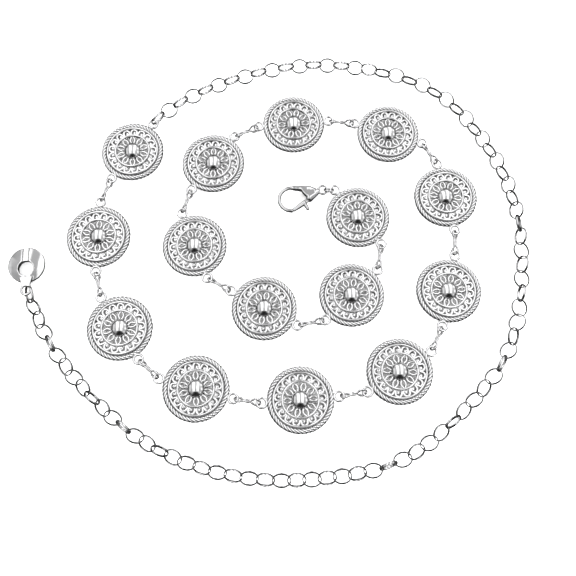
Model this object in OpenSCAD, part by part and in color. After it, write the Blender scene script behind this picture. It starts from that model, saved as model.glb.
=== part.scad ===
// Waist chain laid out flat in a spiral: a row of round filigree medallions joined by
// twisted wire connectors, a lobster clasp at the inner end, and an extension chain of
// round belcher links that carries a pierced end tag. Millimetres, +Z up from the table.

/* [Medallions] */
// Diameter over the rope rim
medallion_d = 25; // [22:0.5:30]
// Thickness of the rope that forms the rim
rope_d = 2.1; // [1.8:0.1:2.4]
// Slanted strands that show round the rope rim
rope_strands = 48; // [30:1:60]
// Depth of the valleys between the strands
strand_depth = 0.22; // [0.12:0.02:0.3]
// Thickness of the two smooth rails
rail_wire = 0.8; // [0.6:0.05:0.9]
// Distance between the two rails, from middle to middle
arch_band = 3.25; // [2.9:0.05:3.5]
// Scroll arches in the outer band
arch_count = 17; // [13:1:20]
// Width of the metal of one arch
arch_wire = 0.55; // [0.4:0.05:0.7]
// Oval petals in the inner band
petal_count = 10; // [8:1:12]
// Width of the hole through one petal
petal_hole = 1.3; // [1:0.05:1.4]
// Diameter of the polished boss
boss_d = 6.6; // [5.6:0.2:7.2]
// Height of the boss above the table
boss_h = 4.2; // [3.4:0.1:5]
// Thickness of the ring that forms an ear
ear_wire = 0.86; // [0.7:0.02:1]
// Hole through an ear
ear_hole = 2.7; // [2.6:0.05:3.2]
// Distance from the rope rim to the middle of an ear
ear_offset = 1.8; // [1.75:0.05:2.4]

/* [Connectors] */
// Distance between the two ears that one connector joins
connector_span = 10.7; // [9.5:0.1:14]
// Thickness of the connector wire
connector_wire = 0.84; // [0.7:0.02:0.9]
// Radius of the end loops, measured to the middle of the wire
connector_loop_r = 1.5; // [1.45:0.05:1.7]
// Lean of the loop at the connector's first end
first_loop_lean = 50; // [50:1:58]
// Lean of the loop at the connector's second end
second_loop_lean = 58; // [50:1:58]

/* [Clasp] */
// Length from the eye to the far side of the hook
clasp_l = 18.7; // [16:0.1:24]
// Radius of the round end of the hook, to its outside
hook_r = 5.6; // [5:0.1:6.4]
// Thickness of the hook
hook_wire = 1.5; // [1.2:0.05:1.8]
// Thickness of the swollen body
clasp_body_d = 3.2; // [2.8:0.1:3.4]
// Thickness of the lever's root, which turns in the body's slot
lever_t = 1.1; // [0.8:0.05:1.3]
// Diameter of the lever's pin
clasp_pin_d = 0.8; // [0.6:0.05:1]
// Clearance round the lever in its slot and on its pin
lever_gap = 0.1; // [0.08:0.01:0.15]
// Thickness of the ring that forms the clasp's eye
eye_wire = 0.9; // [0.8:0.05:1]
// Hole through the clasp's eye
eye_hole = 2.6; // [2.5:0.05:3]
// Distance from the eye to the ear of the first medallion
jump_ring_span = 4.9; // [4.7:0.05:5.2]
// Thickness of the jump ring
jump_ring_wire = 0.76; // [0.6:0.02:0.8]
// Lean of the jump ring
jump_ring_lean = 50; // [48:1:52]

/* [Extension chain] */
// Links in the extension chain
link_count = 84; // [60:1:84]
// Outside diameter of a link
link_d = 7; // [6.4:0.1:8]
// Thickness of a link's band, measured inward
band_t = 0.4; // [0.35:0.05:0.5]
// Width of a link's band
band_w = 1.05; // [0.7:0.05:1.1]
// Room left between two links pulled straight
link_play = 0.3; // [0.3:0.05:0.6]

/* [End tag] */
// Diameter of the tag
tag_d = 14.2; // [12:0.2:18]
// Height of the tag's dome
tag_h = 2.4; // [1.8:0.1:3]
// Height of the tag's edge
tag_edge = 1; // [0.8:0.1:1.2]
// Hole through the tag
tag_hole = 5.9; // [5:0.1:6.4]
// Distance of the hole's middle from the tag's middle
tag_hole_offset = 1.6; // [1:0.1:2]
// Width of the groove that runs from the hole to the far edge
tag_groove_w = 2.4; // [1.6:0.1:3]
// Depth of that groove
tag_groove_depth = 0.4; // [0.2:0.05:0.6]
// Distance from the tag's edge to the middle of its ear
tag_ear_offset = 3.2; // [2.8:0.1:4]

/* [Hidden] */
MEDALLIONS = 15;

// Lay of the row, in whole degrees anticlockwise from +X
// [heading across the medallion, heading of the connector after it]
ROW = [[-52, -99], [-136, -169], [152, 151], [112, 72], [54, 25], [5, -6], [-18, -59],
       [-79, -93], [-103, -116], [-148, -171], [-175, 171], [165, 138], [123, 105],
       [90, 71], [57, 46]];

// Lay of the extension chain, one row for each stretch of it
// [links, heading at its end, spacing as a share of the taut spacing, lean of even links, of odd]
STRETCHES = [[4, 27, 0.98, -80, -4], [6, 11, 0.98, -80, -4], [6, -11, 0.98, -80, -4],
             [2, -15, 0.98, 84, -32], [2, -25, 0.98, 68, -36], [4, -52, 0.98, 68, -36],
             [4, -64, 0.92, 62, -34], [6, -88, 0.93, 60, -36], [6, -103, 0.97, 71, -20],
             [5, -131, 0.98, 44, -46], [5, -141, 0.98, 50, -42], [5, -169, 0.97, 41, -45],
             [5, -179, 0.92, 40, -48], [6, -198, 0.98, 46, -52], [6, -219, 0.9, 46, -42],
             [5, -229, 0.9, 46, -43], [5, -245, 0.9, 50, -40], [2, -248, 0.91, 66, -55]];
// Links that stand nearly on edge: [link, lean]
ON_EDGE = [[33, -60], [38, 86], [43, -68], [48, 76], [53, -78], [68, 66], [71, -74],
           [74, 74], [79, -68]];

// Rope rim and rails of a medallion
RIM_R = medallion_d / 2 - rope_d / 2;
OUTER_RAIL_R = RIM_R - rope_d / 2 - rail_wire / 2;
INNER_RAIL_R = OUTER_RAIL_R - arch_band;
outer_rail_z = 1.9;
inner_rail_z = 2.1;
// Underside of the pierced work, and its thickness in each band
web_z = 1.1;
web_t = 0.6;
arch_t = 0.9;
petal_t = 0.7;
petal_lift = 0.1;
overlap = 0.15;
// Ears of a medallion. The steepest connector loop just stands clear of the table below them
EAR_R = (ear_hole + ear_wire) / 2;
EAR_REACH = medallion_d / 2 + ear_offset;
table_gap = 0.02;
EAR_Z = connector_loop_r * sin(max(first_loop_lean, second_loop_lean)) + connector_wire / 2
        + table_gap;

function heading(a) = [cos(a), sin(a)];
function between(a, b, share) = a + share * (b - a);

// First ear of each medallion, walking along the row from the clasp
FIRST_EARS = [for (i = 0, p = [0, 0]; i < MEDALLIONS;
                   p = p + 2 * EAR_REACH * heading(ROW[i][0]) + connector_span * heading(ROW[i][1]),
                   i = i + 1) p];
function disc_centre(i) = FIRST_EARS[i] + EAR_REACH * heading(ROW[i][0]);
function last_ear(i) = FIRST_EARS[i] + 2 * EAR_REACH * heading(ROW[i][0]);

// One row for each link of the extension chain
// [heading of the step to the next link, length of the step, lean]
TAUT = link_d - 2 * band_t - link_play;
CHAIN_START = ROW[MEDALLIONS - 1][1];
LINKS = [for (s = [0:len(STRETCHES) - 1])
         let (row = STRETCHES[s], from = s == 0 ? CHAIN_START : STRETCHES[s - 1][1],
              first = count_before(s))
         for (k = [0:row[0] - 1])
         let (i = first + k, edge = search(i, ON_EDGE))
         [from + (row[1] - from) * (k + 1) / row[0], TAUT * row[2],
          len(edge) > 0 ? ON_EDGE[edge[0]][1] : row[i % 2 == 0 ? 3 : 4]]];
function count_before(s) = s == 0 ? 0 : STRETCHES[s - 1][0] + count_before(s - 1);
function lean(i) = LINKS[i][2];
function link_heading(i) = ((i == 0 ? CHAIN_START : LINKS[i - 1][0]) + LINKS[i][0]) / 2;

// Corners of a link's band section that can touch the table: [radius, distance from mid width]
band_bevel = 0.15;
BAND_CORNERS = [[link_d / 2, band_w / 2 - band_bevel], [link_d / 2 - band_bevel, band_w / 2]];
// A link stands on the table, or hangs a little below the middle of its higher neighbour
link_hang = 0.5;
function own_height(i) = max([for (c = BAND_CORNERS) c[0] * sin(abs(lean(i))) + c[1] * cos(lean(i))]);
function link_z(i) = max(own_height(i), own_height(max(i - 1, 0)) - link_hang,
                         own_height(min(i + 1, link_count - 1)) - link_hang);

// The band of an end link passes through its ear, so its middle lies to one side of the ear
end_link_reach = 2.8;
function side_step(i, ear_z) = (link_z(i) - ear_z) / tan(lean(i)) * heading(link_heading(i) + 90);
CHAIN_ORIGIN = last_ear(MEDALLIONS - 1) + end_link_reach * heading(CHAIN_START) + side_step(0, EAR_Z);
LINK_CENTRES = [for (i = 0, p = CHAIN_ORIGIN; i < link_count;
                     p = p + LINKS[i][1] * heading(LINKS[i][0]), i = i + 1) p];

// The end tag hangs on the last link and turns a little further than it
tag_turn = -16;
tag_ear_z = 1.7;
LAST_HEADING = LINKS[link_count - 1][0];
TAG_HEADING = LAST_HEADING + tag_turn;
TAG_EAR = LINK_CENTRES[link_count - 1] + end_link_reach * heading(LAST_HEADING)
          - side_step(link_count - 1, tag_ear_z);
TAG_CENTRE = TAG_EAR + (tag_d / 2 + tag_ear_offset) * heading(TAG_HEADING);

// Reach of link i from its middle along the direction with angle a on the table
function link_reach(i, a) =
    let (n = sin(lean(i)) * sin(link_heading(i) - a))
    max([for (c = BAND_CORNERS) c[0] * sqrt(1 - n * n) + c[1] * abs(n)]);
// Furthest reach of the whole object along +X, +Y, -X and -Y from the first ear
function far(a) = max(concat(
    [for (i = [0:MEDALLIONS - 1]) disc_centre(i) * heading(a) + medallion_d / 2],
    [for (i = [0:link_count - 1]) LINK_CENTRES[i] * heading(a) + link_reach(i, a)],
    [TAG_CENTRE * heading(a) + tag_d / 2]));
// Middle of the object on the table
MIDDLE = [(far(0) - far(180)) / 2, (far(90) - far(270)) / 2];

// Puts a child that starts at an origin and runs along +X at a point of the walk
module at(p, angle, z = 0) {
    translate([p.x - MIDDLE.x, p.y - MIDDLE.y, z]) rotate([0, 0, angle]) children();
}

module ring(radius, wire) {
    rotate_extrude($fn = 96) translate([radius, 0]) circle(d = wire, $fn = 32);
}

// Scroll arches. Each head sinks a little into its neighbours and into the outer rail
edge_gap = 0.05;
head_bite = 0.15;
head_merge = 0.05;
BAND_IN = INNER_RAIL_R + rail_wire / 2 + edge_gap;
BAND_OUT = OUTER_RAIL_R - rail_wire / 2 - edge_gap;
ARCH_SPREAD = sin(180 / arch_count);
ARCH_MID = (BAND_OUT + head_bite) / (1 + ARCH_SPREAD);
ARCH_HALF = ARCH_MID * ARCH_SPREAD + head_merge;
ARCH_HOLE = ARCH_HALF - arch_wire;
foot_step = 0.04;
curl = 0.5;
curl_bite = 0.15;

// Hole inside one arch: a round head on a slightly narrower foot, less the curl at one side
module arch_hole() {
    foot = ARCH_HOLE - foot_step;
    difference() {
        union() {
            intersection() {
                translate([ARCH_MID, 0]) circle(ARCH_HOLE, $fn = 48);
                translate([BAND_IN + foot_step, -ARCH_HALF]) square(2 * ARCH_HALF);
            }
            translate([BAND_IN, -foot]) square([max(ARCH_MID - BAND_IN, foot_step), 2 * foot]);
        }
        translate([ARCH_MID - curl / 2, curl - ARCH_HOLE - curl_bite]) circle(curl, $fn = 32);
    }
}

// Three-cornered hole between two arch heads and the outer rail
corner_start = 0.35;
corner_steps = 3;
function beside_head(r) = ARCH_MID * ARCH_SPREAD
    - sqrt(pow(ARCH_HALF, 2) - pow(r - ARCH_MID * cos(180 / arch_count), 2));
module corner_hole() {
    low = ARCH_MID + corner_start;
    steps = [for (s = [1:corner_steps]) low + (BAND_OUT - low) * s / corner_steps];
    polygon(concat([[low, 0]], [for (r = steps) [r, -beside_head(r)]],
                   [for (s = [corner_steps - 1:-1:0]) [steps[s], beside_head(steps[s])]]));
}

// Pointed oval hole of a petal, where two circles cross
petal_root = 0.25;
PETAL_IN = boss_d / 2 + petal_root;
PETAL_OUT = INNER_RAIL_R - rail_wire / 2 - edge_gap;
module petal_hole_outline() {
    r = (pow(PETAL_OUT - PETAL_IN, 2) + pow(petal_hole, 2)) / (4 * petal_hole);
    intersection_for (side = [-1, 1])
        translate([(PETAL_IN + PETAL_OUT) / 2, side * (r - petal_hole / 2)]) circle(r, $fn = 64);
}

// Wedge-shaped hole between two petals
petal_wire = 0.45;
wedge_inset = 0.4;
wedge_start = 0.26;
module wedge_hole() {
    low = between(PETAL_IN, PETAL_OUT, wedge_start);
    wide = PETAL_OUT * sin(180 / petal_count) - petal_wire - wedge_inset;
    polygon([[low, 0], [PETAL_OUT, -wide], [PETAL_OUT, wide]]);
}

// Section of the casting from the boss to the rope, before it is pierced
module section() {
    rise = boss_h - inner_rail_z;
    dome = (pow(boss_d / 2, 2) + pow(rise, 2)) / (2 * rise);
    foot = web_z + petal_lift;
    rope_seat = RIM_R - rope_d / 4;
    intersection() {
        translate([0, boss_h - dome]) circle(dome, $fn = 96);
        translate([0, foot]) square([boss_d / 2, boss_h]);
    }
    polygon([[boss_d / 2 - overlap, foot], [INNER_RAIL_R, foot], [INNER_RAIL_R, web_z],
             [rope_seat, web_z], [rope_seat, web_z + web_t],
             [OUTER_RAIL_R - overlap, web_z + web_t], [OUTER_RAIL_R - overlap, web_z + arch_t],
             [INNER_RAIL_R + overlap, web_z + arch_t], [INNER_RAIL_R + overlap, foot + petal_t],
             [boss_d / 2 - overlap, foot + petal_t]]);
    translate([INNER_RAIL_R, inner_rail_z]) circle(d = rail_wire, $fn = 32);
    translate([OUTER_RAIL_R, outer_rail_z]) circle(d = rail_wire, $fn = 32);
}

// Valleys between the strands of the rope, cut slantwise over its crown
strand_slant = 45;
valley_r = 0.25;
module strand_valleys() {
    for (k = [0:rope_strands - 1]) rotate([0, 0, k * 360 / rope_strands])
        translate([RIM_R, 0, rope_d + valley_r - strand_depth]) rotate([0, 90, strand_slant])
            cylinder(h = 1.15 * rope_d, r = valley_r, center = true, $fn = 16);
}

module medallion(i) {
    color("silver") at(disc_centre(i), ROW[i][0]) {
        difference() {
            rotate_extrude($fn = 96) section();
            translate([0, 0, web_z / 2]) linear_extrude(inner_rail_z) {
                for (k = [0:arch_count - 1]) {
                    rotate([0, 0, (k + 0.5) * 360 / arch_count]) arch_hole();
                    rotate([0, 0, k * 360 / arch_count]) corner_hole();
                }
                for (k = [0:petal_count - 1]) {
                    rotate([0, 0, k * 360 / petal_count]) petal_hole_outline();
                    rotate([0, 0, (k + 0.5) * 360 / petal_count]) wedge_hole();
                }
            }
        }
        difference() {
            translate([0, 0, rope_d / 2]) ring(RIM_R, rope_d);
            strand_valleys();
        }
        for (side = [-1, 1]) translate([side * EAR_REACH, 0, EAR_Z]) ring(EAR_R, ear_wire);
    }
}

// Open loop of a connector. Its tip points along +X, and its two legs run back to the waist
// at distance [reach, half] from the middle of the loop
module open_loop(reach, half) {
    distance = norm([reach, half]);
    turn = atan2(half, reach) + acos(connector_loop_r / distance);
    leg = sqrt(pow(distance, 2) - pow(connector_loop_r, 2));
    rotate([0, 0, turn - 180]) rotate_extrude(angle = 360 - 2 * turn, $fn = 96)
        translate([connector_loop_r, 0]) circle(d = connector_wire, $fn = 32);
    for (side = [-1, 1]) rotate([0, 0, side * (180 - turn)]) translate([connector_loop_r, 0, 0])
        rotate([side * -90, 0, 0]) cylinder(h = leg, d = connector_wire, $fn = 32);
}

// Twisted wire connector: an open loop through each ear, and two strands side by side between
loop_seat = 0.55;
waist_half = 0.43 * connector_wire;
waist_reach = 1.3;
module connector(i) {
    middle = connector_span / 2 - loop_seat - connector_loop_r;
    color("silver") at(last_ear(i) + connector_span / 2 * heading(ROW[i][1]), ROW[i][1], EAR_Z) {
        for (side = [-1, 1]) translate([0, side * waist_half, 0]) rotate([0, 90, 0])
            cylinder(h = 2 * waist_reach, d = connector_wire, center = true, $fn = 32);
        rotate([second_loop_lean, 0, 0]) translate([middle, 0, 0])
            open_loop(middle - waist_reach, waist_half);
        rotate([0, 0, 180]) rotate([first_loop_lean, 0, 0]) translate([middle, 0, 0])
            open_loop(middle - waist_reach, waist_half);
    }
}

// One link of the extension chain: a round band with bevelled edges, leaning along the walk
module link(i) {
    half = band_w / 2;
    at(LINK_CENTRES[i], link_heading(i), link_z(i)) rotate([lean(i), 0, 0]) rotate_extrude($fn = 96)
        translate([link_d / 2 - band_t, 0]) polygon([
            [0, band_bevel - half], [band_bevel, -half],
            [band_t - band_bevel, -half], [band_t, band_bevel - half],
            [band_t, half - band_bevel], [band_t - band_bevel, half],
            [band_bevel, half], [0, half - band_bevel]]);
}

module chain(first, last) {
    color("silver") for (i = [first:last]) link(i);
}

// The clasp lies in its own frame: the eye at the origin, +X towards the hook, and the
// lever on the +Y side
EYE_R = (eye_hole + eye_wire) / 2;
EYE_HEADING = 179;
CLASP_HEADING = 200;
EYE = FIRST_EARS[0] + jump_ring_span * heading(EYE_HEADING);
body_r = clasp_body_d / 2;

// Hook: an arc from the arm round to the nose
hook_drop = 0.4;
arm_turn = -116;
nose_turn = 72;
HOOK_R = hook_r - hook_wire / 2;
HOOK = [clasp_l - hook_r, -hook_drop];
ARM_END = HOOK + HOOK_R * heading(arm_turn);
NOSE = HOOK + HOOK_R * heading(nose_turn);
// Length of the nose that the lever's end takes away
nose_cut = 6;

// Lever: its boss turns on the pin, and its end closes on the nose
PIVOT = [clasp_l / 3, 1.5];
lever_boss_r = 1.25;
lever_bar = 1.5;
root_reach = 2.9;
root_turn = 25;
LEVER_ROOT = PIVOT + root_reach * heading(root_turn);
TO_NOSE = NOSE - PIVOT;
lever_reach = norm(TO_NOSE) - 0.5;
lever_end = atan2(TO_NOSE.y, TO_NOSE.x) + 1;
LEVER_TIP = PIVOT + lever_reach * heading(lever_end);
lever_swing = 28;
// Thumb knob of the lever
knob_r = 0.7;
KNOB_FOOT = PIVOT + 3 * heading(30);
KNOB_TOP = KNOB_FOOT + 2.5 * heading(101);

// Swollen body from the eye to the pin, and the lower arm from the eye to the hook
EYE_SIDE = [EYE_R, 0];
ARM_ROOT = EYE_SIDE + [0.3, -0.15];
NECK = between(EYE_SIDE, PIVOT, 0.42);
SHOULDER = [PIVOT.x - 1.2, -2.1];
// Web that fills the crotch between them, and its thickness
WEB = [between(EYE_SIDE, SHOULDER, 0.3), SHOULDER, between(SHOULDER, ARM_END, 0.54),
       PIVOT + [1.7, -3.1], PIVOT + [1.25, -1.8], PIVOT, NECK];
web_thick = 1.5 * body_r;

// Tapered round bar from a to b in the clasp's plane, with rounded ends
module bar(a, b, ra, rb) {
    d = b - a;
    l = norm(d);
    translate([a.x, a.y, 0]) rotate([0, 90, atan2(d.y, d.x)]) rotate_extrude($fn = 64)
        polygon(concat([for (t = [-90:18:0]) [ra * cos(t), ra * sin(t)]],
                       [for (t = [0:18:90]) [rb * cos(t), l + rb * sin(t)]]));
}

// Room for the lever's root, swept from shut to open
module lever_slot() {
    h = lever_t + 2 * lever_gap;
    half = asin(lever_bar / 2 / root_reach) + 5;
    reach = lever_reach / 2;
    translate([PIVOT.x, PIVOT.y, -h / 2]) {
        cylinder(h = h, r = lever_boss_r + lever_gap, $fn = 48);
        linear_extrude(h) polygon([[0, -lever_bar / 2 - lever_gap],
            reach * heading(root_turn - lever_swing - half), reach * heading(root_turn),
            reach * heading(root_turn + half), [-lever_bar / 4, lever_bar / 2 + lever_gap]]);
    }
}

module clasp_body() {
    color("silver") at(EYE, CLASP_HEADING, EAR_Z) {
        ring(EYE_R, eye_wire);
        difference() {
            union() {
                bar(EYE_SIDE, NECK, 0.5 * body_r, 0.8 * body_r);
                bar(between(EYE_SIDE, NECK, 0.85), PIVOT, 0.72 * body_r, body_r);
                bar(ARM_ROOT, SHOULDER, 0.47 * body_r, 0.9 * body_r);
                bar(between(ARM_ROOT, SHOULDER, 0.9), ARM_END, 0.84 * body_r, hook_wire / 2 + 0.2);
                translate([0, 0, -web_thick / 2]) linear_extrude(web_thick) polygon(WEB);
            }
            lever_slot();
        }
        translate([PIVOT.x, PIVOT.y, 0])
            cylinder(h = 1.75 * body_r, d = clasp_pin_d, center = true, $fn = 32);
        difference() {
            translate([HOOK.x, HOOK.y, 0]) rotate([0, 0, arm_turn])
                rotate_extrude(angle = nose_turn + nose_cut - arm_turn, $fn = 96)
                    translate([HOOK_R, 0]) circle(d = hook_wire, $fn = 32);
            intersection() {
                translate([PIVOT.x, PIVOT.y, -hook_wire])
                    cylinder(h = 2 * hook_wire, r = lever_reach + lever_gap, $fn = 96);
                translate([HOOK.x - HOOK_R / 2, HOOK.y + HOOK_R / 2, -hook_wire])
                    cube([1.2 * HOOK_R, HOOK_R, 2 * hook_wire]);
            }
        }
    }
}

module clasp_lever() {
    color("silver") at(EYE, CLASP_HEADING, EAR_Z) {
        difference() {
            union() {
                translate([PIVOT.x, PIVOT.y, -lever_t / 2]) {
                    cylinder(h = lever_t, r = lever_boss_r, $fn = 48);
                    rotate([0, 0, root_turn]) translate([0, -lever_bar / 2, 0])
                        cube([root_reach, lever_bar, lever_t]);
                }
                intersection() {
                    bar(LEVER_ROOT, LEVER_TIP + heading(lever_end), 1, 0.65);
                    translate([PIVOT.x, PIVOT.y, -hook_wire])
                        cylinder(h = 2 * hook_wire, r = lever_reach, $fn = 96);
                }
                bar(KNOB_FOOT, KNOB_TOP, knob_r, knob_r);
            }
            translate([PIVOT.x, PIVOT.y, 0])
                cylinder(h = 2 * clasp_body_d, d = clasp_pin_d + 2 * lever_gap, center = true, $fn = 32);
        }
    }
}

jump_ring_seat = 0.65;
module jump_ring() {
    r = jump_ring_span / 2 - jump_ring_seat;
    color("silver") at(FIRST_EARS[0] + jump_ring_span / 2 * heading(EYE_HEADING), EYE_HEADING,
                       max(EAR_Z, r * sin(jump_ring_lean) + jump_ring_wire / 2))
        rotate([jump_ring_lean, 0, 0]) ring(r, jump_ring_wire);
}

// Domed disc with an off-centre hole, a groove from the hole to the far edge, and a flat neck
// that carries the ear
tag_ear_wire = 1;
tag_ear_r = 1.85;
tag_neck_t = 0.9;
tag_neck_half = 1.5;
TAG_R = tag_d / 2;
TAG_DOME = (pow(TAG_R, 2) + pow(tag_h - tag_edge, 2)) / (2 * (tag_h - tag_edge));
function tag_top(x) = tag_h - TAG_DOME + sqrt(pow(TAG_DOME, 2) - x * x);
module end_tag() {
    ear_x = -(TAG_R + tag_ear_offset);
    neck_end = 2 - TAG_R;
    hole_edge = tag_hole / 2 - tag_hole_offset;
    slope = atan2(tag_top(hole_edge) - tag_edge, TAG_R - hole_edge);
    color("silver") at(TAG_CENTRE, TAG_HEADING) {
        difference() {
            union() {
                intersection() {
                    translate([0, 0, tag_h - TAG_DOME]) sphere(TAG_DOME, $fn = 64);
                    cylinder(h = 2 * tag_h, r = TAG_R, $fn = 96);
                }
                translate([0, 0, tag_ear_z - tag_neck_t / 2]) linear_extrude(tag_neck_t) polygon([
                    [ear_x + tag_neck_half, tag_neck_half], [neck_end, 1.7 * tag_neck_half],
                    [neck_end, -1.7 * tag_neck_half], [ear_x + tag_neck_half, -tag_neck_half]]);
            }
            translate([-tag_hole_offset, 0, -1]) cylinder(h = 2 * tag_h, d = tag_hole, $fn = 64);
            translate([hole_edge, -tag_groove_w / 2, tag_top(hole_edge) - tag_groove_depth])
                rotate([0, slope, 0]) translate([-tag_hole / 2, 0, 0])
                    cube([tag_hole / 2 + 1.2 * TAG_R, tag_groove_w, tag_h]);
            translate([ear_x, 0, -1]) cylinder(h = 2 * tag_h, r = tag_ear_r, $fn = 48);
        }
        translate([ear_x, 0, tag_ear_z]) ring(tag_ear_r, tag_ear_wire);
    }
}

for (i = [0:MEDALLIONS - 1]) medallion(i);
for (i = [0:MEDALLIONS - 2]) connector(i);
clasp_body();
clasp_lever();
jump_ring();
chain(0, floor(link_count / 2) - 1);  // chain_upper
chain(floor(link_count / 2), link_count - 1);  // chain_lower
end_tag();
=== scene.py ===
import math

import bpy
from mathutils import Matrix, Vector


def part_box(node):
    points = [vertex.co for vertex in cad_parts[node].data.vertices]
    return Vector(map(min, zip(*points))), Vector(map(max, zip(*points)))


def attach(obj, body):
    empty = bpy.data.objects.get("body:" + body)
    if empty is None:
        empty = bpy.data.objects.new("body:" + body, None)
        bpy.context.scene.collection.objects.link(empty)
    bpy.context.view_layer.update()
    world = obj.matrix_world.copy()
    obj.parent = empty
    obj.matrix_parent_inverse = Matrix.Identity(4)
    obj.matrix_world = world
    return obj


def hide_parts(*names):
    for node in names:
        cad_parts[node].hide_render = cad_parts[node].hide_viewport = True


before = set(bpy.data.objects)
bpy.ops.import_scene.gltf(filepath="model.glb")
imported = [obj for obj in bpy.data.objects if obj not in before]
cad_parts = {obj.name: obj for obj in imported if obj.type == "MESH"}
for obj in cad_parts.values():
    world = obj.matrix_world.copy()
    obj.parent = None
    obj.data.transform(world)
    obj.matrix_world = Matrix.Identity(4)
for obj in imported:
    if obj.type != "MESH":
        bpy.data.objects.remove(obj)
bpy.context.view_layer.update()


# The table is a plain pale board under the chain, matt and a little uneven in tone. The chain lies
# straight on it, so its top is at height 0.
class Value:
    """One output of a node. Sums with it add Math nodes to its tree."""

    def __init__(self, tree, socket):
        self.tree = tree
        self.socket = socket

    def __add__(self, other):
        return self.tree.math("ADD", self, other)

    def __radd__(self, other):
        return self.tree.math("ADD", other, self)

    def __sub__(self, other):
        return self.tree.math("SUBTRACT", self, other)

    def __rsub__(self, other):
        return self.tree.math("SUBTRACT", other, self)

    def __mul__(self, other):
        return self.tree.math("MULTIPLY", self, other)

    def __rmul__(self, other):
        return self.tree.math("MULTIPLY", other, self)

    def __truediv__(self, other):
        return self.tree.math("DIVIDE", self, other)


class Tree:
    """A node tree that is built by calls."""

    def __init__(self, tree):
        self.tree = tree
        tree.nodes.clear()

    def node(self, kind, settings, sockets):
        node = self.tree.nodes.new(kind)
        for name, value in settings.items():
            setattr(node, name, value)
        for name, value in sockets.items():
            if isinstance(value, Value):
                self.tree.links.new(value.socket, node.inputs[name])
            else:
                node.inputs[name].default_value = value
        return node

    def value(self, kind, settings, sockets, output=0):
        return Value(self, self.node(kind, settings, sockets).outputs[output])

    def math(self, operation, *terms):
        return self.value("ShaderNodeMath", {"operation": operation}, dict(enumerate(terms)))

    def limit(self, value):
        return self.value("ShaderNodeClamp", {}, {"Value": value})

    def mix(self, factor, a, b):
        a, b = [(*colour, 1) if isinstance(colour, tuple) else colour for colour in (a, b)]
        return self.value("ShaderNodeMix", {"data_type": "RGBA"}, {0: factor, 6: a, 7: b}, 2)

    def noise(self, place, scale, detail=3):
        sockets = {"Vector": place, "Scale": scale, "Detail": detail}
        return self.value("ShaderNodeTexNoise", {}, sockets, "Fac")


def new_material(name):
    skin = bpy.data.materials.new(name)
    skin.use_nodes = True
    return skin, Tree(skin.node_tree)


def add_object(name, mesh):
    obj = bpy.data.objects.new(name, mesh)
    bpy.context.scene.collection.objects.link(obj)
    return obj


table_half = 1.6
table_gap = 0.00003
board_tones = [(0.53, 0.53, 0.53), (0.57, 0.57, 0.57)]
cloud_count = 9
table_top = bpy.data.meshes.new("table")
corners = [(-table_half, -table_half, 0), (table_half, -table_half, 0),
           (table_half, table_half, 0), (-table_half, table_half, 0)]
table_top.from_pydata(corners, [], [(0, 1, 2, 3)])
board, tree = new_material("pale board")
place = tree.value("ShaderNodeTexCoord", {}, {}, "Object")
tone = tree.noise(place, cloud_count)
shader = tree.value("ShaderNodeBsdfPrincipled", {}, {
    "Base Color": tree.mix(tone, *board_tones),
    "Roughness": 0.75 + 0.1 * tone, "Specular IOR Level": 0.25})
tree.node("ShaderNodeOutputMaterial", {}, {"Surface": shader})
table_top.materials.append(board)
table = add_object("table", table_top)
table.location.z = -table_gap
table.visible_glossy = False

# The light is a white studio tent, lit from above through strips of cloth. Its sides are dark low down
# and darkest where the photographer stands, and the metal mirrors all that along its edges. Six lamps
# low round the table burn it out to white. They and the table aren't seen in the metal.
floor_dark = 0.05
cloth_gap = 0.66
cloth_strip = 1.55
strip_count = 9.5
panel_count = 9
lamp_count = 6
lamp_power = 17
lamp_size = 0.5
lamp_ring = 0.85
lamp_height = 0.42
world = bpy.data.worlds.new("studio tent")
bpy.context.scene.world = world
world.use_nodes = True
tree = Tree(world.node_tree)
away = tree.value("ShaderNodeTexCoord", {}, {}, "Generated")
split = tree.node("ShaderNodeSeparateXYZ", {}, {"Vector": away})
east, north, up = [Value(tree, split.outputs[axis]) for axis in "XYZ"]


def ease(value, low, high):
    """0 below low, 1 above high and smooth between."""
    return tree.value("ShaderNodeMapRange", {"interpolation_type": "SMOOTHSTEP"},
                      {"Value": value, "From Min": low, "From Max": high})


# Bearing from the photographer, then how much a direction belongs to the roof and to its front
side = tree.math("ARCTAN2", east, 0 - north)
roof = ease(up, 0.3, 0.75)
front = ease(0 - north, -0.1, 0.15)
strips = ease(0 - tree.math("COSINE", east * strip_count), -0.5, 0.6)
# The photographer, the upright panels of the walls, and the brightness of walls and cloth
facing = ease(tree.math("COSINE", side), 0.6, 0.92) * (1 - ease(up, 0.76, 0.92))
panels = ease(tree.math("SINE", side * panel_count + 0.6), -0.3, 0.5)
behind = ease(north, 0.2, 0.9)
walls = (0.8 + 0.5 * ease(east, -0.2, 0.9) + 0.7 * behind) * (0.45 + 0.55 * panels)
cloth = cloth_gap + cloth_strip * strips - front * (0.15 + 0.3 * strips)
glow = roof * cloth + (1 - roof) * walls
lit = ease(up + 0.07 * behind, 0.1, 0.5)
glow = glow * (1 - 0.97 * facing) * lit + (1 - lit) * floor_dark
back = tree.value("ShaderNodeBackground", {}, {"Color": tree.value("ShaderNodeCombineColor", {}, {
    "Red": glow, "Green": glow, "Blue": glow * 1.01})})
tree.node("ShaderNodeOutputWorld", {}, {"Surface": back})

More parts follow.
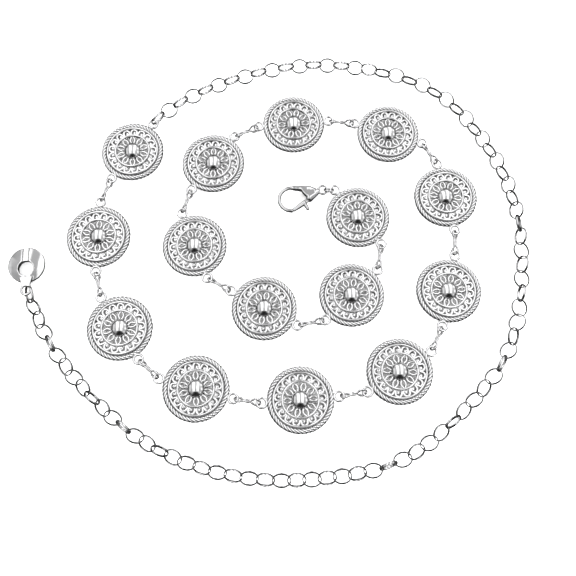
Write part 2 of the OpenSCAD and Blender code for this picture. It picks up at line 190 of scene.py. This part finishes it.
for number in range(lamp_count):
    bearing = math.radians(20 + 360 / lamp_count * number)
    lamp = bpy.data.lights.new("floor lamp", "AREA")
    lamp.shape = "DISK"
    lamp.size = lamp_size
    lamp.energy = lamp_power
    floor_lamp = bpy.data.objects.new("floor lamp", lamp)
    floor_lamp.location = (lamp_ring * math.cos(bearing), lamp_ring * math.sin(bearing), lamp_height)
    floor_lamp.rotation_euler = (-floor_lamp.location).to_track_quat("-Z", "Y").to_euler()
    floor_lamp.visible_glossy = False
    bpy.context.scene.collection.objects.link(floor_lamp)

# The camera stands in front of the chain and looks steeply down, 74.6 degrees above the table, as the
# photographer's did.
photo_camera = bpy.data.cameras.new("camera")
photo_camera.lens = 45.25
photo_camera.sensor_width = 36
photo_camera.clip_start = 0.01
camera = bpy.data.objects.new("camera", photo_camera)
camera.location = (0.007386, -0.086425, 0.269)
camera.rotation_euler = (math.radians(15.43), 0, 0)
bpy.context.scene.collection.objects.link(camera)
bpy.context.scene.camera = camera
bpy.context.scene.view_settings.view_transform = "Standard"

# The medallions are cast, pierced discs in bright silver plating: a rope rim, two smooth rails with
# scroll arches between them, ten petals and a polished boss. Their two ears are soldered on.
medallion_r = 12.5
rope_r = 1.045
rim_r = medallion_r - 1.05
strands = 48
strand_turns = 4
valley = 0.42
rail_r = 0.4
outer_rail = (10.0, 1.9)
inner_rail = (6.75, 2.1)
web_z = 1.1
arch_count = 17
arch_size = (0.44, 0.9)
arch_mid = 8.35
arch_half = 1.15
curl_wire = 0.3
curl_h = 0.8
curl_r = 0.3
curl_place = (7.9, -0.35)
petal_count = 10
petal_size = (0.5, 0.75)
petal_ends = (3.15, 6.5)
petal_half = 0.9
petal_tip = 0.08
boss_r = 3.3
boss_h = 4.2
dome_h = 1.55
boss_foot = [(3.6, 1.2), (3.62, 1.45), (3.5, 1.7), (3.37, 1.9)]
ear_reach = 14.3
ear_r = 1.78
ear_wire = 0.86
ear_z = 1.712


def new_tree(name, **inputs):
    """A geometry tree with these inputs, and one Value for each of them."""
    group = bpy.data.node_groups.new(name, "GeometryNodeTree")
    built = Tree(group)
    group.interface.new_socket("Geometry", in_out="OUTPUT", socket_type="NodeSocketGeometry")
    group.interface.new_socket("Geometry", in_out="INPUT", socket_type="NodeSocketGeometry")
    for label, kind in inputs.items():
        group.interface.new_socket(label, in_out="INPUT", socket_type="NodeSocket" + kind)
    entry = built.node("NodeGroupInput", {}, {})
    return built, [Value(built, entry.outputs[i]) for i in range(len(inputs) + 1)]


def end_tree(built, geometry, material, near=0.0004):
    """Realizes the geometry, joins points this near, smooths the shading and sets the material."""
    whole = built.value("GeometryNodeRealizeInstances", {}, {"Geometry": geometry})
    joined = built.value("GeometryNodeMergeByDistance", {}, {"Geometry": whole, "Distance": near})
    smooth = built.value("GeometryNodeSetShadeSmooth", {}, {"Geometry": joined})
    skinned = built.value("GeometryNodeSetMaterial", {}, {"Geometry": smooth, "Material": material})
    built.node("NodeGroupOutput", {}, {0: skinned})
    return built.tree


def grow(obj, group, **values):
    """Runs a geometry tree on obj and keeps what it makes as obj's plain mesh."""
    modifier = obj.modifiers.new(group.name, "NODES")
    modifier.node_group = group
    for item in group.interface.items_tree:
        if item.in_out == "INPUT" and item.name in values:
            modifier[item.identifier] = values[item.name]
    seen = obj.evaluated_get(bpy.context.evaluated_depsgraph_get())
    obj.data = bpy.data.meshes.new_from_object(seen)
    obj.modifiers.clear()


# Round or oval wire along the edges of a mesh, upright wherever its section isn't round
built, (path, width, height, sides, skin) = new_tree(
    "wire along a path", Width="Float", Height="Float", Sides="Int", Material="Material")
curve = built.value("GeometryNodeMeshToCurve", {}, {"Mesh": path})
curve = built.value("GeometryNodeSetCurveNormal", {"mode": "Z_UP"}, {"Curve": curve})
ring = built.value("GeometryNodeCurvePrimitiveCircle", {}, {"Resolution": sides, "Radius": 0.5})
scale = built.value("ShaderNodeCombineXYZ", {}, {"X": height, "Y": width, "Z": 1})
section = built.value("GeometryNodeTransform", {}, {"Geometry": ring, "Scale": scale})
wire_tree = end_tree(built, built.value("GeometryNodeCurveToMesh", {}, {
    "Curve": curve, "Profile Curve": section, "Fill Caps": True}), skin)

# Copies of a mesh turned evenly round the origin
built, (piece, count, start, skin) = new_tree(
    "copies round a ring", Count="Int", Start="Float", Material="Material")
points = built.value("GeometryNodePoints", {}, {"Count": count})
index = built.value("GeometryNodeInputIndex", {}, {})
share = (index + start) / count
turn = built.value("ShaderNodeCombineXYZ", {}, {"X": 0, "Y": 0, "Z": share * math.tau})
turn = built.value("FunctionNodeEulerToRotation", {}, {"Euler": turn})
ring_tree = end_tree(built, built.value("GeometryNodeInstanceOnPoints", {}, {
    "Points": points, "Instance": piece, "Rotation": turn}), skin)


def heading(degrees):
    return Vector((math.cos(math.radians(degrees)), math.sin(math.radians(degrees))))


def new_mesh(name, points, edges=(), faces=()):
    mesh = bpy.data.meshes.new(name)
    mesh.from_pydata([tuple(p) for p in points], list(edges), list(faces))
    return mesh


def lathe(profile, steps, closed=False):
    """Mesh turned round Z from a profile of (radius, height) that runs outward side on its right."""
    points = []
    rows = []
    for r, z in profile:
        if r == 0:
            rows.append([len(points)] * steps)
            points.append((0, 0, z))
        else:
            rows.append([len(points) + s for s in range(steps)])
            points += [(r * math.cos(math.tau * s / steps), r * math.sin(math.tau * s / steps), z)
                       for s in range(steps)]
    faces = []
    for a, b in zip(rows, rows[1:] + rows[:1] if closed else rows[1:]):
        for s in range(steps):
            corners = [a[s], a[(s + 1) % steps], b[(s + 1) % steps], b[s]]
            face = [c for k, c in enumerate(corners) if c != corners[k - 1]]
            if len(face) > 2:
                faces.append(face)
    return points, faces


def circle(radius, steps, centre=(0, 0, 0)):
    """Closed path round Z."""
    points = [(centre[0] + radius * math.cos(math.tau * s / steps),
               centre[1] + radius * math.sin(math.tau * s / steps), centre[2]) for s in range(steps)]
    return points, [(s, (s + 1) % steps) for s in range(steps)]


def strand():
    """One slanting lobe of the rope, from valley to valley and once round the rope."""
    across, around = 8, 16
    reach = 0.95
    fall = 1 - math.sqrt(1 - reach ** 2)
    points = []
    for j in range(around + 1):
        v = math.tau * j / around
        for i in range(across + 1):
            s = reach * (2 * i / across - 1)
            r = rope_r - valley * (1 - math.sqrt(1 - s * s)) / fall
            u = (math.tau * i / across - strand_turns * v) / strands
            out = rim_r + r * math.cos(v)
            points.append((out * math.cos(u), out * math.sin(u), rope_r + r * math.sin(v)))
    row = across + 1
    return points, [(j * row + i, j * row + i + 1, (j + 1) * row + i + 1, (j + 1) * row + i)
                    for j in range(around) for i in range(across)]


def arch():
    """Path of one n-shaped arch, its feet in the inner rail."""
    z = web_z + arch_size[1] / 2
    foot = [(inner_rail[0] + 0.15, 1.3), (7.3, 1.26), (7.8, 1.19)]
    head = [(arch_mid + arch_half * math.cos(a), arch_half * math.sin(a))
            for a in [math.pi / 2 * (1 - k / 8) for k in range(17)]]
    points = foot + head + [(x, -y) for x, y in reversed(foot)]
    return [(x, y, z) for x, y in points], [(i, i + 1) for i in range(len(points) - 1)]


def curl():
    """Path of the curl that hooks into one arch from the foot of its leg."""
    foot = [(inner_rail[0] + 0.2, -1.05), (7.3, -0.9)]
    hook = [Vector(curl_place) + curl_r * heading(degrees) for degrees in range(205, -80, -20)]
    path = foot + hook
    return [(x, y, web_z + curl_h / 2) for x, y in path], [(i, i + 1) for i in range(len(path) - 1)]


def petal():
    """Paths of the two sides of one petal, between the boss and the inner rail."""
    z = web_z + 0.1 + petal_size[1] / 2
    steps = 12
    points = []
    edges = []
    for side in (-1, 1):
        for s in range(steps + 1):
            share = s / steps
            x = petal_ends[0] + (petal_ends[1] - petal_ends[0]) * share
            wide = petal_tip + (petal_half - petal_tip) * math.sin(math.pi * share) ** 0.85
            points.append((x, side * wide, z))
            if s:
                edges.append((len(points) - 2, len(points) - 1))
    return points, edges


def recess_shade_of(x, y, z):
    """How deep a point lies in a recess, from 0 to 1: painted shade there, and a rougher finish."""
    r = math.hypot(x, y)
    if r < boss_r + 0.05:
        deep = (1.9 - z) / 0.5
    elif r < 10.35:
        deep = (1.65 - z) / 0.5
    elif r < medallion_r:
        deep = (rope_r - math.hypot(r - rim_r, z - rope_r)) / valley * 1.8 - 0.95
    else:
        deep = 0
    return min(max(deep, 0), 1)


def plated(name, bright, recess_shade_colour, polish, wear, grain, dent=0.000012):
    """Bright plated metal. Its first colour and roughness are for what is polished. In the hollows the
    second, dark colour is painted shade, with the second roughness. grain is the size in metres of its
    unevenness, and dent how deep that is."""
    skin, tree = new_material(name)
    place = tree.value("ShaderNodeTexCoord", {}, {}, "Object")
    cloud = tree.noise(place, 1 / grain, 4)
    fine = tree.noise(place, 6 / grain, 2)
    recess_shade = tree.value("ShaderNodeAttribute", {"attribute_name": "recess_shade"}, {}, "Fac")
    # Painted shade: the colour runs from bright to the dark one as the marked recess deepens, and the
    # roughness rises with it
    shade = tree.limit(recess_shade + (cloud - 0.5) * 0.5 * recess_shade)
    clear = tree.mix(cloud, tuple(c * 0.93 for c in bright), bright)
    relief = {"Strength": 0.35, "Distance": dent, "Height": cloud + fine * 0.3}
    normal = tree.value("ShaderNodeBump", {}, relief, "Normal")
    rough = polish + (wear - polish) * shade + (fine - 0.4) * 0.06 * (1 + cloud)
    shader = tree.value("ShaderNodeBsdfPrincipled", {}, {
        "Metallic": 1.0, "Base Color": tree.mix(shade, clear, recess_shade_colour), "Roughness": rough, "Normal": normal})
    tree.node("ShaderNodeOutputMaterial", {}, {"Surface": shader})
    return skin


def finish_mesh(name, parts, material, scale=0.001):
    """One mesh in metres from several in millimetres, with the depth of its recesses, for painted shade,
    marked on its points.
    """
    points = []
    faces = []
    for part in parts:
        first = len(points)
        points += [tuple(v.co) for v in part.vertices]
        faces += [[first + v for v in p.vertices] for p in part.polygons]
    whole = new_mesh(name, [(x * scale, y * scale, z * scale) for x, y, z in points], (), faces)
    # Depth in a recess on each point, which the plating turns into painted shade
    recess_shade = whole.attributes.new("recess_shade", "FLOAT", "POINT")
    recess_shade.data.foreach_set("value", [recess_shade_of(*p) for p in points])
    whole.polygons.foreach_set("use_smooth", [True] * len(faces))
    whole.materials.append(material)
    return whole


# The plating's near-black second colour is painted shade in the medallion's recesses: rope valleys, the
# pierced web and the foot of the boss.
medallion_skin = plated(
    "medallion plating", (0.87, 0.87, 0.87), (0.09, 0.09, 0.093), 0.07, 0.32, 0.0016)


def part_of(name, shape, wire=None, ring=None):
    """Plain mesh of one part of the medallion: a faced shape, or a path and the wire along it."""
    points, joins = shape
    obj = add_object(name, new_mesh(name, points, *(((), joins) if wire is None else (joins,))))
    if wire:
        grow(obj, wire_tree, Width=wire[0], Height=wire[1], Sides=wire[2], Material=medallion_skin)
    if ring:
        grow(obj, ring_tree, Count=ring[0], Start=ring[1], Material=medallion_skin)
    mesh = obj.data
    bpy.data.objects.remove(obj)
    return mesh


dome_r = (boss_r ** 2 + dome_h ** 2) / (2 * dome_h)
dome = [(dome_r * math.sin(a), boss_h - dome_r + dome_r * math.cos(a))
        for a in [math.asin(boss_r / dome_r) * (1 - k / 20) for k in range(20)]]
boss = [(0, boss_foot[0][1])] + boss_foot + dome + [(0, boss_h)]
round_rail = (2 * rail_r, 2 * rail_r, 12)
medallion_parts = [
    part_of("rope", strand(), ring=(strands, 0)),
    part_of("outer rail", circle(outer_rail[0], 96, (0, 0, outer_rail[1])), round_rail),
    part_of("inner rail", circle(inner_rail[0], 96, (0, 0, inner_rail[1])), round_rail),
    part_of("seat", lathe([(9.75, web_z), (10.95, web_z), (10.95, 1.3), (9.75, 1.3)], 96, True)),
    part_of("rail foot", lathe([(6.5, web_z), (7.0, web_z), (7.0, 2.0), (6.5, 2.0)], 96, True)),
    part_of("arches", arch(), (*arch_size, 10), (arch_count, 0.5)),
    part_of("curls", curl(), (curl_wire, curl_h, 8), (arch_count, 0.5)),
    part_of("petals", petal(), (*petal_size, 10), (petal_count, 0)),
    part_of("boss", lathe(boss, 72)),
    part_of("ears", circle(ear_r, 48, (ear_reach, 0, ear_z)), (ear_wire, ear_wire, 12), (2, 0)),
]
medallion_mesh = finish_mesh("medallion", medallion_parts, medallion_skin)

# Lay of the row: heading across each medallion, then of the connector after it, in degrees
row = [(-52, -99), (-136, -169), (152, 151), (112, 72), (54, 25), (5, -6), (-18, -59), (-79, -93),
       (-103, -116), (-148, -171), (-175, 171), (165, 138), (123, 105), (90, 71), (57, 46)]
connector_span = 10.7
low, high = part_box("medallion_01")
first_middle = Vector(((low[0] + high[0]) / 2, (low[1] + high[1]) / 2)) * 1000
first_ear = first_middle - ear_reach * heading(row[0][0])
ears = []
for across, onward in row:
    start = first_ear if not ears else ears[-1][1] + connector_span * heading(ears[-1][2])
    ears.append((start, start + 2 * ear_reach * heading(across), onward))


def laid(mesh, name, place, degrees, z=0.0, lean=0.0):
    """Copy of a mesh laid at a place given in millimetres, turned and leaning."""
    copy = mesh.copy()
    spot = Matrix.Translation(Vector((*place, z)) * 0.001)
    turned = Matrix.Rotation(math.radians(degrees), 4, "Z")
    copy.transform(spot @ turned @ Matrix.Rotation(math.radians(lean), 4, "X"))
    return add_object(name, copy)


def fit(obj, body, slot, *nodes):
    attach(obj, body)
    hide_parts(*nodes)


for number, ((start, end, onward), (across, _)) in enumerate(zip(ears, row), 1):
    disc = laid(medallion_mesh, f"medallion-{number:02d}", (start + end) / 2, across)
    fit(disc, "chain", "medallions", f"medallion_{number:02d}")

# The connectors are single loops of drawn wire, twisted once in the middle and plated. Each holds
# the ears of two medallions in its open ends.
connector_wire = 0.84
loop_r = 1.5
loop_mid = connector_span / 2 - 0.55 - loop_r
waist_reach = 1.3
waist_half = 0.38
loop_leans = (-50, 58)
wire_skin = plated("wire plating", (0.8, 0.8, 0.8), (0.14, 0.14, 0.145), 0.07, 0.3, 0.0012)


def connector_path():
    """Once round the wire: a loop, a strand of the waist, the other loop, the other strand."""
    away = loop_mid - waist_reach
    touch = math.acos(loop_r / math.hypot(away, waist_half))
    turn = 180 - math.degrees(math.atan2(waist_half, away) + touch)
    flat = []
    for end in (1, -1):
        lean = loop_leans[end > 0]
        for k in range(33):
            p = loop_r * heading(turn * (k / 16 - 1))
            flat.append((end * (loop_mid + p.x), p.y * end, lean))
        twist = loop_leans[end < 0] - lean
        for k in range(13):
            share = k / 12
            eased = share * share * (3 - 2 * share)
            flat.append((end * waist_reach * (1 - 2 * share), end * waist_half, lean + twist * eased))
    return ([(x, b * heading(lean).x, b * heading(lean).y) for x, b, lean in flat],
            [(k, (k + 1) % len(flat)) for k in range(len(flat))])


def bent_wire(name, shape, wire, skin):
    """Mesh in metres of a round wire bent along a closed path given in millimetres."""
    points, edges = shape
    obj = add_object(name, new_mesh(name, points, edges))
    grow(obj, wire_tree, Width=wire, Height=wire, Sides=16, Material=skin)
    mesh = obj.data
    bpy.data.objects.remove(obj)
    mesh.transform(Matrix.Scale(0.001, 4))
    return mesh


connector_mesh = bent_wire("connector", connector_path(), connector_wire, wire_skin)
for number, (start, end, onward) in enumerate(ears[:-1], 1):
    middle = end + connector_span / 2 * heading(onward)
    wire = laid(connector_mesh, f"connector-{number:02d}", middle, onward, ear_z)
    fit(wire, "chain", "wire", f"connector_{number:02d}")

# The jump ring is a small ring of plated wire that joins the clasp's eye to the first medallion.
ring_span = 4.9
ring_heading = 179
ring_lean = 50
ring_wire = 0.76
ring_r = ring_span / 2 - 0.65
ring_mesh = bent_wire("jump ring", circle(ring_r, 64), ring_wire, wire_skin)
ring_middle = first_ear + ring_span / 2 * heading(ring_heading)
ring_z = ring_r * math.sin(math.radians(ring_lean)) + ring_wire / 2
jump_ring = laid(ring_mesh, "jump-ring", ring_middle, ring_heading, ring_z, ring_lean)
fit(jump_ring, "chain", "wire", "jump_ring")

# The extension chain is eighty-four round belcher links of rolled band, plated and polished. Each
# link leans on its neighbours, by turns steep and nearly flat.
link_r = 3.5
band_t = 0.4
band_w = 1.05
taut = 2 * link_r - 2 * band_t - 0.3
# Stretches of the chain: links, heading at the end, tautness, lean of even and of odd links
stretches = [
    (4, 27, 0.98, -80, -4), (6, 11, 0.98, -80, -4), (6, -11, 0.98, -80, -4),
    (2, -15, 0.98, 84, -32), (2, -25, 0.98, 68, -36), (4, -52, 0.98, 68, -36),
    (4, -64, 0.92, 62, -34), (6, -88, 0.93, 60, -36), (6, -103, 0.97, 71, -20),
    (5, -131, 0.98, 44, -46), (5, -141, 0.98, 50, -42), (5, -169, 0.97, 41, -45),
    (5, -179, 0.92, 40, -48), (6, -198, 0.98, 46, -52), (6, -219, 0.9, 46, -42),
    (5, -229, 0.9, 46, -43), (5, -245, 0.9, 50, -40), (2, -248, 0.91, 66, -55)]
# Links that lean otherwise, by their number
on_edge = {33: -60, 38: 86, 43: -68, 48: 76, 53: -78, 68: 66, 71: -74, 74: 74, 79: -68}
chain_start = row[-1][1]
steps = []
heading_now = chain_start
for count, last, share, even, odd in stretches:
    from_heading = heading_now
    for k in range(count):
        number = len(steps)
        heading_now = from_heading + (last - from_heading) * (k + 1) / count
        steps.append((heading_now, taut * share, on_edge.get(number, even if number % 2 == 0 else odd)))
    heading_now = last


def own_height(number):
    lean = math.radians(abs(steps[number][2]))
    corners = [(link_r, band_w / 2 - 0.15), (link_r - 0.15, band_w / 2)]
    return max(r * math.sin(lean) + w * math.cos(lean) for r, w in corners)


last_link = len(steps) - 1
heights = [max(own_height(i), own_height(max(i - 1, 0)) - 0.5, own_height(min(i + 1, last_link)) - 0.5)
           for i in range(len(steps))]
turns = [((steps[i - 1][0] if i else chain_start) + steps[i][0]) / 2 for i in range(len(steps))]
spot = ears[-1][1] + 2.8 * heading(chain_start)
spot = spot + (heights[0] - ear_z) / math.tan(math.radians(steps[0][2])) * heading(turns[0] + 90)
centres = []
for onward, length, lean in steps:
    centres.append(spot)
    spot = spot + length * heading(onward)

# Links placed, turned and leaned as the points of a mesh say
built, (path, link, size, skin) = new_tree(
    "links on points", Link="Object", Size="Float", Material="Material")
shape = built.value("GeometryNodeObjectInfo", {}, {"Object": link}, "Geometry")
lean = built.value("GeometryNodeInputNamedAttribute", {"data_type": "FLOAT"}, {"Name": "lean"})
turn = built.value("GeometryNodeInputNamedAttribute", {"data_type": "FLOAT"}, {"Name": "turn"})
turned = built.value("ShaderNodeCombineXYZ", {}, {"X": lean, "Y": 0, "Z": turn})
turned = built.value("FunctionNodeEulerToRotation", {}, {"Euler": turned})
sizes = built.value("ShaderNodeCombineXYZ", {}, {"X": size, "Y": size, "Z": size})
spots = built.value("GeometryNodeMeshToPoints", {}, {"Mesh": path})
link_tree = end_tree(built, built.value("GeometryNodeInstanceOnPoints", {}, {
    "Points": spots, "Instance": shape, "Rotation": turned, "Scale": sizes}), skin, 0.0000004)

# Half of the band's domed section, from the middle of its outer face to its flat inner face
half_band = [(0.4, 0), (0.388, 0.2), (0.352, 0.365), (0.27, 0.485),
             (0.17, 0.522), (0.08, 0.44), (0.015, 0.36), (0, 0.18)]
band = [(r, w) for r, w in half_band] + [(r, -w) for r, w in reversed(half_band[1:])]
band.insert(len(half_band), (0, 0))
band_points, band_faces = lathe([(link_r - band_t + r, w) for r, w in band], 64, True)
link_shape = add_object("link", new_mesh("link", band_points, (), band_faces))
# The links' plating has a darker colour than the medallions', as painted shade on their band faces.
link_skin = plated("link plating", (0.62, 0.62, 0.62), (0.14, 0.14, 0.145), 0.08, 0.3, 0.0014)
middle = len(steps) // 2
for name, first, end in (("chain_upper", 0, middle), ("chain_lower", middle, len(steps))):
    places = new_mesh(name, [(*centres[i] * 0.001, heights[i] * 0.001) for i in range(first, end)])
    for label, values in (("lean", [s[2] for s in steps]), ("turn", turns)):
        places.attributes.new(label, "FLOAT", "POINT").data.foreach_set(
            "value", [math.radians(v) for v in values[first:end]])
    links = add_object(name.replace("_", "-"), places)
    grow(links, link_tree, Link=link_shape, Size=0.001, Material=link_skin)
    fit(links, "chain", "links", name)
bpy.data.objects.remove(link_shape)

# The lobster clasp is cast and polished all over: a swollen body, a hook and a sprung lever. Its
# edges were rounded by the polishing.
clasp_skin = plated("clasp plating", (0.6, 0.6, 0.6), (0.14, 0.14, 0.145), 0.06, 0.3, 0.0022)


def softened(node, name, grain, passes, skin):
    """Copy of a CAD node whose edges are worn round, as polishing leaves a casting."""
    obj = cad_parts[node].copy()
    obj.data = obj.data.copy()
    obj.parent = None
    bpy.context.scene.collection.objects.link(obj)
    weld = obj.modifiers.new("weld", "WELD")
    weld.merge_threshold = 0.000002
    remesh = obj.modifiers.new("remesh", "REMESH")
    remesh.mode = "VOXEL"
    remesh.voxel_size = grain
    wear = obj.modifiers.new("wear", "SMOOTH")
    wear.factor = 0.5
    wear.iterations = passes
    seen = obj.evaluated_get(bpy.context.evaluated_depsgraph_get())
    mesh = bpy.data.meshes.new_from_object(seen)
    bpy.data.objects.remove(obj)
    mesh.polygons.foreach_set("use_smooth", [True] * len(mesh.polygons))
    mesh.materials.clear()
    mesh.materials.append(skin)
    return add_object(name, mesh)


fit(softened("clasp_body", "clasp-body", 0.00013, 26, clasp_skin), "chain", "clasp", "clasp_body")
fit(softened("clasp_lever", "clasp-lever", 0.0001, 8, clasp_skin), "lever", "clasp", "clasp_lever")

# The end tag is a domed cast disc, pierced off centre and polished to a mirror. Its ear hangs on the
# last link.
tag_skin = plated("tag plating", (0.68, 0.68, 0.68), (0.14, 0.14, 0.145), 0.05, 0.3, 0.003)
fit(softened("end_tag", "end-tag", 0.00016, 5, tag_skin), "chain", "tag", "end_tag")
